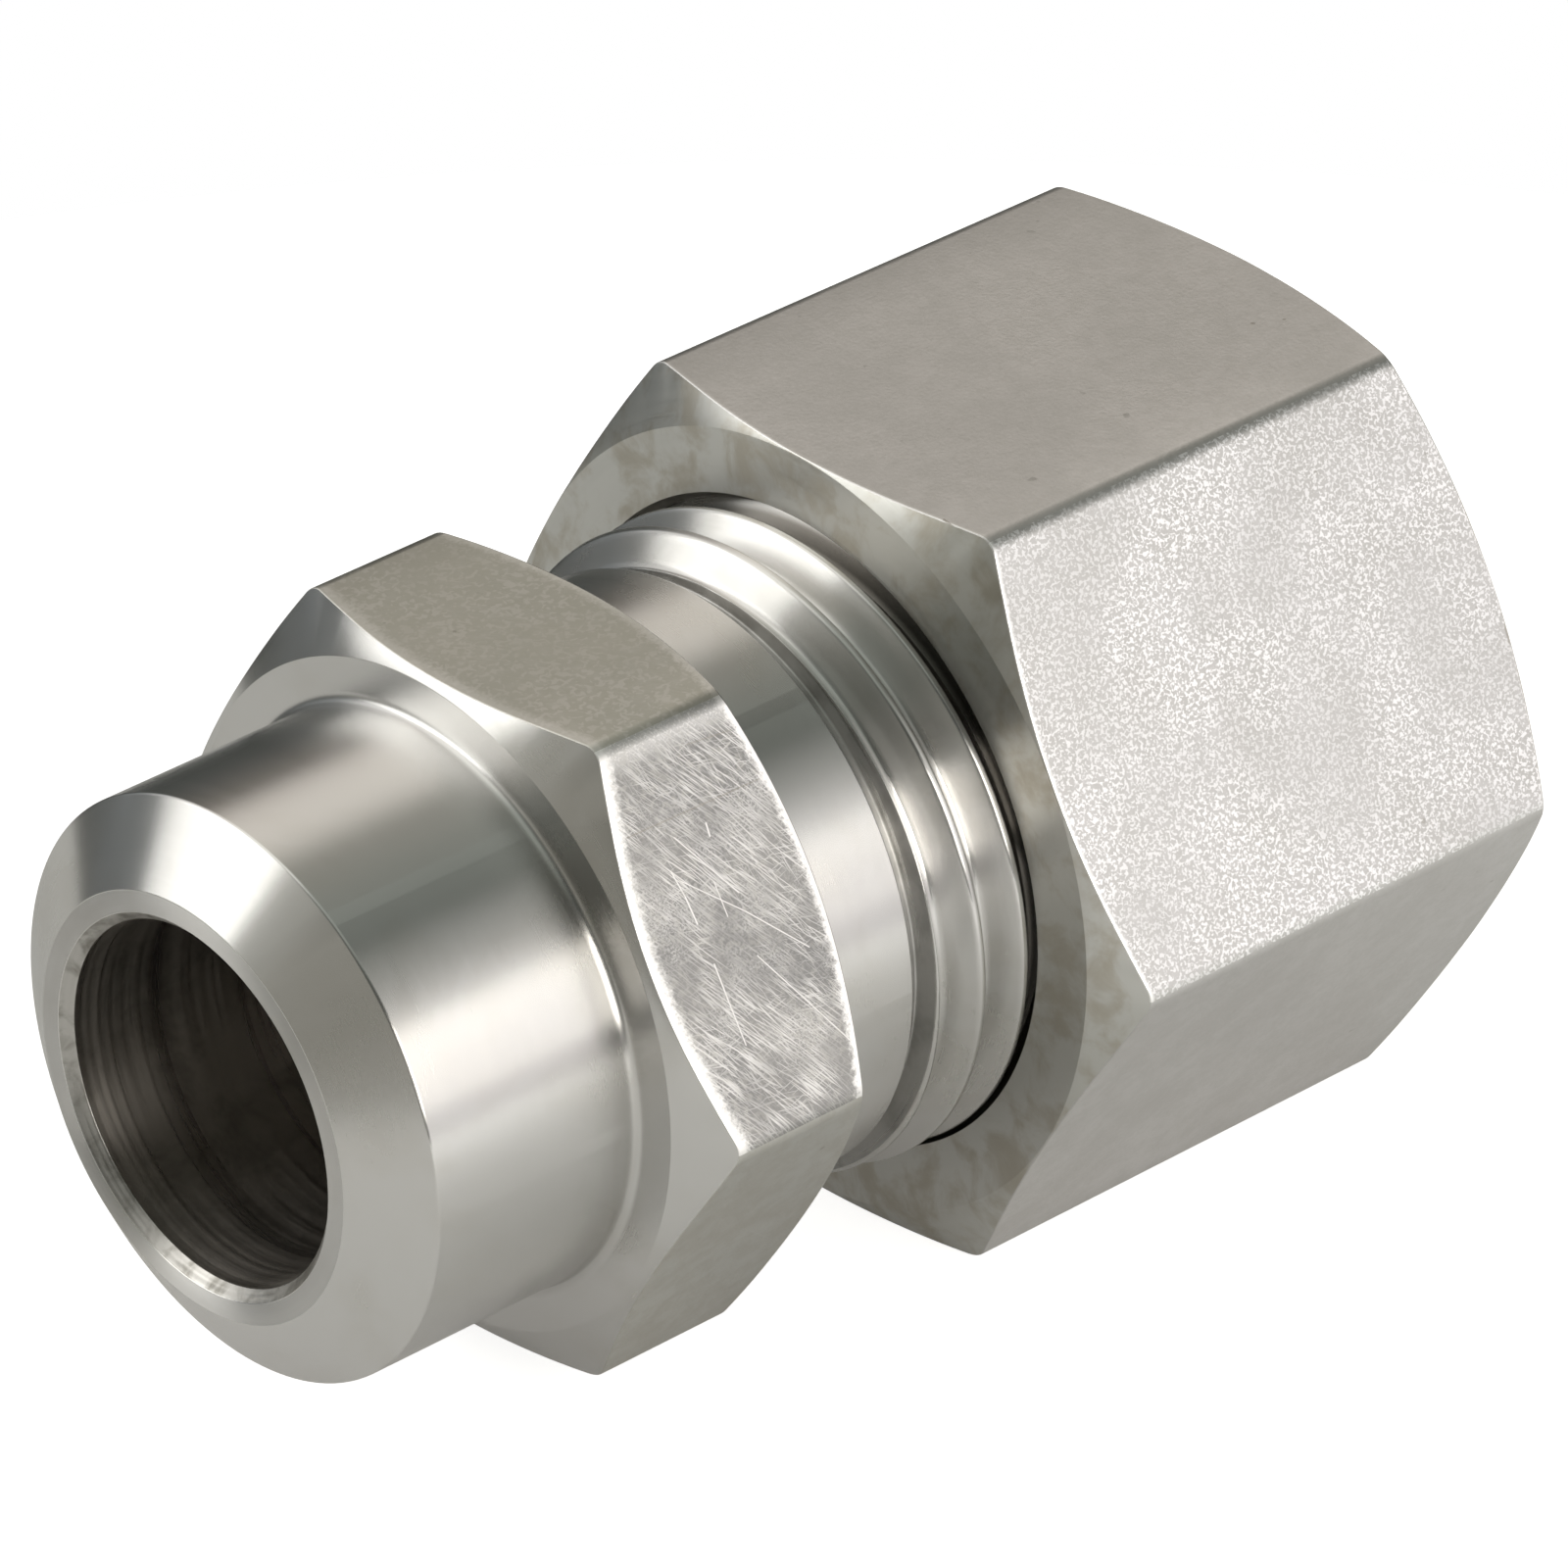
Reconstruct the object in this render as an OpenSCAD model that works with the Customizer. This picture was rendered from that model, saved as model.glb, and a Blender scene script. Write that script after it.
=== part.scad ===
// Weld fitting: a 24 degree cone cutting-ring connector with a butt-weld spigot.
// The axis is X. The origin is the centre of the weld end face, the tube goes in from +X,
// and the union nut lies on one of its flats, with +Z up.

/* [Weld end] */
// Outside diameter of the weld spigot
spigot_d = 16; // [14:0.1:16.4]
// Length of the spigot, from the weld face to the body hex
spigot_len = 7.9; // [5:0.1:25]
// Flow bore through the body
bore_d = 10; // [5:0.1:10.6]
// Outside diameter of the flat ring left at the weld face
land_d = 11.8; // [11.4:0.1:13.4]
// Angle of the weld bevel, measured from the plane of the weld face
bevel_angle = 32; // [20:1:50]
// Chamfer at the mouth of the flow bore
mouth_chamfer = 0.3; // [0.1:0.05:0.4]
// Fillet between the spigot and the front of the body hex
spigot_fillet = 0.3; // [0.1:0.05:0.5]

/* [Body hex] */
// Width across the flats of the body hex
body_af = 19; // [18.8:0.1:22]
// Length of the body hex
body_hex_len = 6; // [4:0.1:12]
// Depth by which the six long corners of the body hex are turned down
body_corner_cut = 0.15; // [0.05:0.05:0.5]
// How far inside the flats the body hex's face circles lie
body_face_in = 0.25; // [0.05:0.05:0.6]
// Angle of the body hex's chamfers, measured from its faces
body_chamfer_angle = 30; // [15:1:40]

/* [Neck and thread] */
// Diameter of the plain neck behind the body hex
neck_d = 16.7; // [15:0.1:16.9]
// Length of the neck, up to the undercut
neck_len = 3.1; // [2:0.1:8]
// Depth of the thread undercut below the neck
undercut_depth = 0.35; // [0.15:0.05:0.6]
// Width of the thread undercut's floor
undercut_len = 0.65; // [0.3:0.05:2]
// Outside diameter of the thread
thread_d = 18; // [17.6:0.1:18.5]
// Pitch of the thread
thread_pitch = 1.5; // [0.75:0.25:2]
// Length of the thread, from the undercut to the end of the body
thread_len = 10.2; // [9.2:0.1:20]
// How far below its full diameter the thread starts
run_in_depth = 0.3; // [0.1:0.05:0.6]
// Angle of the cone on which the thread grows to its full diameter
run_in_angle = 16; // [10:1:45]
// Angle of the thread's flanks, measured from the plane across the axis
flank_angle = 30; // [27:1:33]

/* [Tube seat] */
// Outside diameter of the tube that the fitting takes
tube_d = 12; // [11.2:0.1:12.4]
// Full angle of the seat cone
cone_angle = 24; // [20:1:30]
// Height of the seat cone's mouth over the wall of the tube
cone_rise = 1.15; // [0.9:0.05:1.3]
// Depth of the tube stop below the end of the body
seat_depth = 7; // [6.2:0.1:10]
// Radial clearance between the tube and the wall of its socket
socket_clear = 0.08; // [0.03:0.01:0.12]

/* [Cutting ring] */
// Thickness of the ring's cutting nose
ring_nose = 0.3; // [0.2:0.05:0.4]
// Radial clearance between the tube and the bore of the ring
ring_clear = 0.1; // [0.07:0.01:0.15]
// Angle of the ring's outer taper, measured from the axis
ring_taper = 10; // [6:0.5:11]
// Length of the taper, from the nose to the collar
ring_taper_len = 4; // [3.6:0.1:5]
// Thickness of the ring's collar, measured from the wall of the tube
ring_wall = 1.5; // [1.4:0.05:1.9]
// Width of the collar's full diameter
ring_collar_len = 1; // [0.6:0.1:2]
// Thickness of the ring at its rear face
ring_rear = 0.4; // [0.3:0.05:0.6]
// Depth of the relief inside the ring, behind its cutting edge
ring_relief = 0.2; // [0.1:0.05:0.25]
// Width of one cutting edge inside the ring
ring_edge = 0.55; // [0.35:0.05:0.7]
// Gap between the ring and what it seats on, when the nut is finger-tight
ring_gap = 0.05; // [0.03:0.01:0.12]

/* [Union nut] */
// Wall of the union nut between its thread and its flats
nut_wall = 2; // [1.5:0.1:3.5]
// Length of the union nut
nut_len = 15.8; // [14:0.1:25]
// Depth by which the six long corners of the nut are turned down
nut_corner_cut = 0.15; // [0.05:0.05:0.5]
// How far inside the flats the nut's face circles lie
nut_face_in = 0.07; // [0.03:0.01:0.6]
// Angle of the nut's chamfers, measured from its faces
nut_chamfer_angle = 26; // [15:1:40]
// Thickness of the wall behind the nut's inner cone
nut_web = 5; // [2.5:0.1:8]
// Half angle of the nut's inner cone
nut_cone_half = 45; // [40:1:50]
// Radial clearance between the tube and the hole in the nut
nut_hole_clear = 0.27; // [0.27:0.01:0.4]
// Chamfer at the mouth of the nut's thread
nut_mouth_chamfer = 0.1; // [0.05:0.05:0.3]
// Chamfer at the mouth of the tube hole in the nut
nut_hole_chamfer = 0.3; // [0.1:0.05:0.6]
// Width of the relief behind the nut's thread
nut_relief_len = 1; // [0.6:0.1:2]
// Depth of the relief behind the nut's thread
nut_relief = 0.25; // [0.1:0.05:0.5]
// Radial running clearance between the two threads
thread_clear = 0.04; // [0.02:0.01:0.07]

/* [Hidden] */
$fn = 96;
over = 1;

// Radii of the body
spigot_r = spigot_d / 2;
bore_r = bore_d / 2;
land_r = land_d / 2;
neck_r = neck_d / 2;
undercut_r = neck_r - undercut_depth;
thread_r = thread_d / 2;
root_r = thread_r - 0.6134 * thread_pitch;
tube_r = tube_d / 2;
socket_r = tube_r + socket_clear;
cone_mouth_r = tube_r + cone_rise;

// Places along the body, from the weld face
bevel_x = (spigot_r - land_r) * tan(bevel_angle);
hex_x = spigot_len;
neck_x = hex_x + body_hex_len;
undercut_x = neck_x + neck_len;
floor_x = undercut_x + undercut_depth / 2;
thread_x = floor_x + undercut_len;
start_r = thread_r - run_in_depth;
start_x = thread_x + (start_r - undercut_r) * tan(flank_angle);
run_in_x = start_x + run_in_depth / tan(run_in_angle);
end_x = thread_x + thread_len;
end_chamfer = thread_r - root_r;
stop_x = end_x - seat_depth;
cone_x = end_x - (cone_mouth_r - socket_r) / tan(cone_angle / 2);

// The ring's nose touches the seat cone, less the gap
ring_bore_r = tube_r + ring_clear;
ring_nose_r = ring_bore_r + ring_nose;
ring_x = end_x - (cone_mouth_r - ring_nose_r - ring_gap / cos(cone_angle / 2)) / tan(cone_angle / 2);
ring_collar_r = tube_r + ring_wall;
ring_shoulder_r = ring_nose_r + ring_taper_len * tan(ring_taper);
ring_collar_x = ring_x + ring_taper_len + (ring_collar_r - ring_shoulder_r);
ring_back_x = ring_collar_x + ring_collar_len;
ring_rear_r = ring_bore_r + ring_rear;
ring_end_x = ring_back_x + (ring_collar_r - ring_rear_r) / tan(nut_cone_half);

// The nut's inner cone presses on the back of the ring, less the gap
nut_af = thread_d + 2 * nut_wall;
nut_bore_r = thread_r + thread_clear;
nut_hole_r = tube_r + nut_hole_clear;
nut_cone_end_x = ring_end_x + (ring_rear_r - nut_hole_r) / tan(nut_cone_half) + ring_gap / sin(nut_cone_half);
nut_cone_x = nut_cone_end_x - (nut_bore_r - nut_hole_r) / tan(nut_cone_half);
nut_end_x = nut_cone_end_x + nut_web;
nut_x = nut_end_x - nut_len;
nut_relief_x = nut_cone_x - nut_relief_len;

// Turns a flat form, drawn with radius across and length upwards, about the X axis
module spin() {
    rotate([0, 90, 0])
        rotate_extrude()
            children();
}

// Flat form of a turned profile, from [x, radius] points
module profile(points) {
    polygon([for (p = points) [p[1], p[0]]]);
}

// Bar of hexagonal section from x0 along +X, with one flat on top
module hex_bar(af, x0, len) {
    translate([x0, 0, 0])
        rotate([0, 90, 0])
            rotate(30)
                cylinder(h = len, r = af / 2 / cos(30), $fn = 6);
}

// Radius of a hex's corners once they are turned down
function corner_radius(af, cut) = af / 2 / cos(30) - cut;

// Turned outline of the body: spigot, hex with its two chamfers, neck, undercut and thread
module body_outline() {
    face_r = body_af / 2 - body_face_in;
    far_r = corner_radius(body_af, body_corner_cut);
    run = (far_r - face_r) * tan(body_chamfer_angle);
    fillet_x = hex_x - spigot_fillet;
    fillet_r = spigot_r + spigot_fillet;
    difference() {
        profile([
            [0, 0],
            [0, land_r],
            [bevel_x, spigot_r],
            [fillet_x, spigot_r],
            [fillet_x, fillet_r],
            [hex_x, fillet_r],
            [hex_x, face_r],
            [hex_x + run, far_r],
            [neck_x - run, far_r],
            [neck_x, face_r],
            [neck_x, neck_r],
            [undercut_x, neck_r],
            [floor_x, undercut_r],
            [thread_x, undercut_r],
            [start_x, start_r],
            [run_in_x, thread_r],
            [end_x - end_chamfer, thread_r],
            [end_x, root_r],
            [end_x, 0]
        ]);
        translate([fillet_r, fillet_x])
            circle(r = spigot_fillet);
    }
}

// Everything that is bored out of the body: flow bore, tube stop, socket and seat cone
module body_bore() {
    profile([
        [-over, 0],
        [-over, bore_r + mouth_chamfer + over],
        [mouth_chamfer, bore_r],
        [stop_x, bore_r],
        [stop_x, socket_r],
        [cone_x, socket_r],
        [end_x, cone_mouth_r],
        [end_x + over, cone_mouth_r],
        [end_x + over, 0]
    ]);
}

// One piece, turned from hexagonal bar and bored through
module weld_body() {
    color([0.64, 0.63, 0.61])
        difference() {
            intersection() {
                hex_bar(body_af, -over, end_x + 2 * over);
                spin() body_outline();
            }
            spin() body_bore();
        }
}

// Ring that bites into the tube: tapered nose, two cutting edges, collar and rear cone
module cutting_ring() {
    color([0.5, 0.5, 0.49])
        spin()
            profile([
                [ring_x, ring_bore_r],
                [ring_x, ring_nose_r],
                [ring_x + ring_taper_len, ring_shoulder_r],
                [ring_collar_x, ring_collar_r],
                [ring_back_x, ring_collar_r],
                [ring_end_x, ring_rear_r],
                [ring_end_x, ring_bore_r],
                [ring_x + 3 * ring_edge + ring_relief, ring_bore_r],
                [ring_x + 3 * ring_edge, ring_bore_r + ring_relief],
                [ring_x + 2 * ring_edge, ring_bore_r + ring_relief / 2],
                [ring_x + 2 * ring_edge, ring_bore_r],
                [ring_x + ring_edge, ring_bore_r + ring_relief / 2],
                [ring_x + ring_edge, ring_bore_r]
            ]);
}

// Turned outline of the nut: a face circle at each end and the chamfers out to the corners
module nut_outline() {
    face_r = nut_af / 2 - nut_face_in;
    far_r = corner_radius(nut_af, nut_corner_cut);
    run = (far_r - face_r) * tan(nut_chamfer_angle);
    profile([
        [nut_x, 0],
        [nut_x, face_r],
        [nut_x + run, far_r],
        [nut_end_x - run, far_r],
        [nut_end_x, face_r],
        [nut_end_x, 0]
    ]);
}

// Everything that is bored out of the nut: thread, relief, inner cone and tube hole
module nut_bore() {
    profile([
        [nut_x - over, 0],
        [nut_x - over, nut_bore_r + nut_mouth_chamfer + over],
        [nut_x + nut_mouth_chamfer, nut_bore_r],
        [nut_relief_x, nut_bore_r],
        [nut_relief_x + nut_relief, nut_bore_r + nut_relief],
        [nut_cone_x - nut_relief, nut_bore_r + nut_relief],
        [nut_cone_x, nut_bore_r],
        [nut_cone_end_x, nut_hole_r],
        [nut_end_x - nut_hole_chamfer, nut_hole_r],
        [nut_end_x + over, nut_hole_r + nut_hole_chamfer + over],
        [nut_end_x + over, 0]
    ]);
}

// Nut that draws the ring into the seat cone
module union_nut() {
    color([0.69, 0.68, 0.66])
        difference() {
            intersection() {
                hex_bar(nut_af, nut_x - over, nut_len + 2 * over);
                spin() nut_outline();
            }
            spin() nut_bore();
        }
}

weld_body();
cutting_ring();
union_nut();
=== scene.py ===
import math

import bmesh
import bpy
import numpy as np
from mathutils import Matrix, Vector


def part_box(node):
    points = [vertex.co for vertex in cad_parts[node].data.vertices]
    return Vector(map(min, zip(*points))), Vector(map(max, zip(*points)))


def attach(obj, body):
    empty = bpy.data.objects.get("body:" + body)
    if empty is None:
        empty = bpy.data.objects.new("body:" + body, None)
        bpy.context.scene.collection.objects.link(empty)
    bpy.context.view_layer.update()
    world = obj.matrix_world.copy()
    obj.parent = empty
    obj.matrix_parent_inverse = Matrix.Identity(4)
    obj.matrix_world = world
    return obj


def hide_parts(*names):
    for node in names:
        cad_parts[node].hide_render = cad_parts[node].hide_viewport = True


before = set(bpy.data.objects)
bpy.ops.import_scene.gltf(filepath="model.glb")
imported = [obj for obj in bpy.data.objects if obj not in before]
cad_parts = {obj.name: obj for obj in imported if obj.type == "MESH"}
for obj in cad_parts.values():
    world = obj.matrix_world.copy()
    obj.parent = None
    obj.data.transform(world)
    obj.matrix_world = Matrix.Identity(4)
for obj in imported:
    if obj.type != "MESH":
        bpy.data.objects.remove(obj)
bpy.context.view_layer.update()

mm = 0.001
print("frame loaded:", ", ".join(sorted(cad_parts)))


# sizes that come from the frame, in mm

def boxOf(node):
    low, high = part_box(node)
    return [v / mm for v in low], [v / mm for v in high]


_, bodyHigh = boxOf("weld_body")
nutLow, nutHigh = boxOf("union_nut")
ringLow, ringHigh = boxOf("cutting_ring")


# turned forms: each column of the mesh is one slice through the axis

hexBar = {"cornerSoft": 0.7, "dipReach": 2.2}  # corner radius, and how far each flat falls away beside it
weldDistance = 0.0001 * mm  # points closer than this become one
join = 0.02  # short step between the two ends of an outline, mm


def cornerShape(flat, far):
    # how much a flat dips at its edges, where the corner's arc starts, and the arc's centre
    dip, slope = 0.0, 0.0
    for _ in range(4):
        sharp = far + hexBar["cornerSoft"] * (1 / math.cos(math.pi / 6 - slope) - 1)
        dip = max(flat - sharp * math.cos(math.pi / 6), 0)
        slope = math.atan(2 * dip / hexBar["dipReach"])
    centre = far - hexBar["cornerSoft"]
    aside = hexBar["cornerSoft"] * math.sin(math.pi / 6 - slope)
    edge = math.pi / 6 - math.atan(aside / (centre + hexBar["cornerSoft"] * math.cos(math.pi / 6 - slope)))
    return dip, edge, centre


def hexRadius(flat, far, angles):
    # radius of a drawn hexagon with rounded corners; flats face 30, 90, 150 degrees and so on
    dip, edge, centre = cornerShape(flat, far)
    fromFlat = np.abs((angles % (math.pi / 3)) - math.pi / 6)
    fromCorner = math.pi / 6 - fromFlat
    dipAt = flat * math.tan(math.pi / 6) - hexBar["dipReach"]
    high = np.full_like(angles, flat)
    for _ in range(3):
        high = flat - dip * (np.maximum(high * np.tan(fromFlat) - dipAt, 0) / hexBar["dipReach"]) ** 2
    aside = np.maximum(hexBar["cornerSoft"] ** 2 - (centre * np.sin(fromCorner)) ** 2, 0)
    arc = centre * np.cos(fromCorner) + np.sqrt(aside)
    return np.where(fromFlat <= edge, high / np.cos(fromFlat), arc)


def hexAngles(flat, far, across, around):
    # column angles for a full turn, closer together at the six corners
    edge = cornerShape(flat, far)[1]
    half = np.concatenate([np.linspace(-math.pi / 6, -edge, around, endpoint=False),
                           np.linspace(-edge, edge, across, endpoint=False),
                           np.linspace(edge, math.pi / 6, around, endpoint=False)])
    turn = np.concatenate([half + math.pi / 6 + k * math.pi / 3 for k in range(6)])
    return np.append(turn, 2 * math.pi)


def softenCorners(corners, angles):
    # rows of x and radius for every column, with each corner of the outline rounded;
    # a corner is x, radius, how much it is cut back, steps in its curve, and the finish that ends there
    many = len(angles)
    points = np.array([[np.broadcast_to(c[0], many), np.broadcast_to(c[1], many)] for c in corners], float)
    points = points.transpose(0, 2, 1)
    rows, finishes = [], []
    for i, corner in enumerate(corners):
        here = points[i]
        soft, steps = corner[2], corner[3]
        if soft <= 0 or i in (0, len(corners) - 1):
            rows.append(here)
            finishes.append(corner[4])
            continue
        toLast = points[i - 1] - here
        toNext = points[i + 1] - here
        lastLength = np.linalg.norm(toLast, axis=1, keepdims=True)
        nextLength = np.linalg.norm(toNext, axis=1, keepdims=True)
        cosine = np.sum(toLast * toNext, axis=1, keepdims=True) / (lastLength * nextLength)
        cut = soft * np.sqrt(np.maximum(1 + cosine, 0) / np.maximum(1 - cosine, 1e-6))
        cut = np.minimum(cut, 0.45 * np.minimum(lastLength, nextLength))  # leaves room for the next corner
        start = here + toLast / lastLength * cut
        end = here + toNext / nextLength * cut
        for t in np.linspace(0, 1, steps + 1):
            rows.append((1 - t) ** 2 * start + 2 * t * (1 - t) * here + t ** 2 * end)
            finishes.append(corner[4])
    return rows, finishes


def turnedMesh(name, rows, finishes, angles, materials):
    # closed mesh from rows that go once round the outline; the rows' finishes pick the materials
    many = len(angles)
    verts = np.zeros((len(rows), many, 3))
    for i, row in enumerate(rows):
        verts[i, :, 0] = row[:, 0]
        verts[i, :, 1] = row[:, 1] * np.cos(angles)
        verts[i, :, 2] = row[:, 1] * np.sin(angles)
    verts = verts.reshape(-1, 3) * mm
    faces, slots = [], []
    for i in range(len(rows)):
        k = (i + 1) % len(rows)
        slot = materials.index(finishes[i])
        for j in range(many - 1):
            faces.append((i * many + j, i * many + j + 1, k * many + j + 1, k * many + j))
            slots.append(slot)
    mesh = bpy.data.meshes.new(name)
    mesh.from_pydata(verts.tolist(), [], faces)
    mesh.polygons.foreach_set("material_index", slots)
    for m in materials:
        mesh.materials.append(m)
    work = bmesh.new()
    work.from_mesh(mesh)
    bmesh.ops.remove_doubles(work, verts=work.verts, dist=weldDistance)
    bmesh.ops.dissolve_degenerate(work, edges=work.edges, dist=weldDistance)
    if work.calc_volume(signed=True) < 0:
        bmesh.ops.reverse_faces(work, faces=work.faces)
    loose = [e for e in work.edges if len(e.link_faces) != 2]
    print(name, len(work.verts), "points", len(work.faces), "faces", len(loose), "open edges")
    work.to_mesh(mesh)
    work.free()
    mesh.shade_smooth()
    obj = bpy.data.objects.new(name, mesh)
    bpy.context.scene.collection.objects.link(obj)
    return obj


def keepFlatsFlat(obj):
    weigh = obj.modifiers.new("weigh_normals", "WEIGHTED_NORMAL")
    weigh.mode = "FACE_AREA"
    weigh.weight = 50


# thread: one right-hand start, the same helix on the body and in the nut

thread = {
    "pitch": 1.5,
    "outer": 9.0,
    "depth": 0.92,
    "rootWidth": 0.3,
    "rootRise": 0.03,  # how much the root's floor rises to its sides
    "runInStart": 8.7,
    "runInAngle": 16,
    "rootAt": 19.37,  # where a root crosses the slice at rootAngle
    "rootAngle": 120,
    "clearance": 0.045,
    "nutCrest": 8.22,
    "crestSoft": 0.022,
    "endSoft": 0.025,
    "nutSoft": 0.012,
    "endLevel": 0.9,  # last part of each thread, with level rows
    "leaveLength": 0.3,  # where the nut's thread runs out into its relief
    "leaveDrop": 0.6,
}


def rootPlace(angles):
    return thread["rootAt"] + thread["pitch"] * (angles - math.radians(thread["rootAngle"])) / (2 * math.pi)


def softMin(a, b, k):
    low = np.minimum(a, b)
    return low - k * np.log(np.exp(-(a - low) / k) + np.exp(-(b - low) / k))


def ridge(x, angles):
    # radius of the endless body thread at x, before the run-in and the end chamfer
    s = ((x - rootPlace(angles)) / thread["pitch"]) % 1.0
    away = np.minimum(s, 1 - s) * thread["pitch"]
    half = thread["rootWidth"] / 2
    root = thread["outer"] - thread["depth"]
    flank = root + np.maximum(away - half, 0) * math.sqrt(3)  # 60 degree thread
    flank = flank + thread["rootRise"] * np.minimum(away / half, 1) ** 2
    return softMin(flank, np.full_like(flank, thread["outer"] + 0.01), thread["crestSoft"])


def threadRows(radiusAt, angles, start, end, phases):
    # rows that follow the helix between two places; outside them the rows close up on the end circles
    first = int(math.floor((start - rootPlace(angles).max()) / thread["pitch"])) - 1
    last = int(math.ceil((end - rootPlace(angles).min()) / thread["pitch"])) + 1
    rows = []
    for n in range(first, last + 1):
        for u in phases:
            x = np.clip(rootPlace(angles) + thread["pitch"] * (n + u), start, end)
            rows.append(np.stack([x, radiusAt(x, angles)], 1))
    return rows


def levelRows(radiusAt, angles, places):
    rows = []
    for p in places:
        x = np.full(len(angles), float(p))
        rows.append(np.stack([x, radiusAt(x, angles)], 1))
    return rows


# materials

def newMaterial(name):
    mat = bpy.data.materials.new(name)
    mat.use_nodes = True
    mat.node_tree.nodes.clear()
    return mat


class Nodes:
    # short hand for building a node tree
    def __init__(self, tree):
        self.tree = tree

    def put(self, socket, value):
        if hasattr(value, "is_output"):
            self.tree.links.new(value, socket)
        elif value is not None:
            socket.default_value = value

    def math(self, kind, a, b=None, c=None):
        n = self.tree.nodes.new("ShaderNodeMath")
        n.operation = kind
        for i, v in enumerate((a, b, c)):
            if v is not None:
                self.put(n.inputs[i], v)
        return n.outputs[0]

    def vector(self, x, y, z):
        n = self.tree.nodes.new("ShaderNodeCombineXYZ")
        for i, v in enumerate((x, y, z)):
            self.put(n.inputs[i], v)
        return n.outputs[0]

    def noise(self, vector, scale, detail=2.0, rough=0.5, distort=0.0):
        n = self.tree.nodes.new("ShaderNodeTexNoise")
        n.inputs["Scale"].default_value = scale
        n.inputs["Detail"].default_value = detail
        n.inputs["Roughness"].default_value = rough
        n.inputs["Distortion"].default_value = distort
        self.put(n.inputs["Vector"], vector)
        return n.outputs[0]

    def spread(self, value, low, high, to0=0.0, to1=1.0):
        n = self.tree.nodes.new("ShaderNodeMapRange")
        n.interpolation_type = "SMOOTHSTEP"
        self.put(n.inputs["Value"], value)
        n.inputs["From Min"].default_value = low
        n.inputs["From Max"].default_value = high
        n.inputs["To Min"].default_value = to0
        n.inputs["To Max"].default_value = to1
        return n.outputs[0]

    def mix(self, factor, a, b):
        n = self.tree.nodes.new("ShaderNodeMix")
        n.data_type = "RGBA"
        self.put(n.inputs["Factor"], factor)
        for socket, value in ((n.inputs[6], a), (n.inputs[7], b)):
            self.put(socket, (*value, 1) if isinstance(value, tuple) else value)
        return n.outputs[2]

    def bump(self, height, distance, under=None):
        n = self.tree.nodes.new("ShaderNodeBump")
        n.inputs["Strength"].default_value = 1.0
        n.inputs["Distance"].default_value = distance
        self.put(n.inputs["Height"], height)
        if under is not None:
            self.put(n.inputs["Normal"], under)
        return n.outputs[0]


def objectPlace(t):
    # the object's own x, y, z and its radius from the axis, in metres
    coord = t.tree.nodes.new("ShaderNodeTexCoord")
    split = t.tree.nodes.new("ShaderNodeSeparateXYZ")
    t.tree.links.new(coord.outputs["Object"], split.inputs[0])
    x, y, z = split.outputs
    r = t.math("SQRT", t.math("ADD", t.math("MULTIPLY", y, y), t.math("MULTIPLY", z, z)))
    return coord.outputs["Object"], x, y, z, r


def steelShader(mat, colour, rough, normal, anisotropic=0.0):
    t = Nodes(mat.node_tree)
    out = t.tree.nodes.new("ShaderNodeOutputMaterial")
    shader = t.tree.nodes.new("ShaderNodeBsdfPrincipled")
    shader.inputs["Metallic"].default_value = 1.0
    t.put(shader.inputs["Base Color"], colour)
    t.put(shader.inputs["Roughness"], rough)
    t.put(shader.inputs["Normal"], normal)
    if anisotropic:
        shader.inputs["Anisotropic"].default_value = anisotropic
        shader.inputs["Anisotropic Rotation"].default_value = 0.25  # a quarter turn, along the tool's lines
        tangent = t.tree.nodes.new("ShaderNodeTangent")
        tangent.direction_type = "RADIAL"
        tangent.axis = "X"
        t.tree.links.new(tangent.outputs[0], shader.inputs["Tangent"])
    t.tree.links.new(shader.outputs[0], out.inputs[0])


def onFlat(t, sector, number):
    return t.math("COMPARE", sector, number, 0.5)


def makeTurned(name, look):
    # steel fresh from the lathe: fine rings round the axis and faint stains
    mat = newMaterial(name)
    t = Nodes(mat.node_tree)
    place, x, y, z, r = objectPlace(t)
    wander = t.math("MULTIPLY", t.math("ADD", y, z), 0.012)
    rings = t.vector(x, r, wander)
    fine = t.noise(rings, look["fineLines"], 2.0, 0.6)
    broad = t.noise(rings, look["broadLines"], 2.0, 0.5)
    stain = t.noise(place, look["stainScale"], 4.0, 0.6, 0.4)
    lines = t.math("ADD", t.math("MULTIPLY", fine, 0.6), t.math("MULTIPLY", broad, 0.4))
    rough = t.math("ADD", t.spread(lines, 0.3, 0.7, *look["rough"]), t.spread(stain, 0.5, 0.75, 0.0, 0.05))
    colour = t.mix(t.spread(stain, 0.42, 0.68), look["colour"], look["stain"])
    # painted shade: roots inside the nut, below the given radius, are coloured dark to stand in for the shade there
    if look.get("paintedRootShade"):
        low, high = look["paintedRootShade"]["below"]
        inRoot = t.spread(r, low * mm, high * mm, 1.0, 0.0)
        past = t.math("GREATER_THAN", x, look["paintedRootShade"]["after"] * mm)
        colour = t.mix(t.math("MULTIPLY", inRoot, past), colour, look["paintedRootShade"]["colour"])
    normal = t.bump(lines, look["relief"] * mm)
    steelShader(mat, colour, rough, normal, look["anisotropic"])
    return mat


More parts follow.
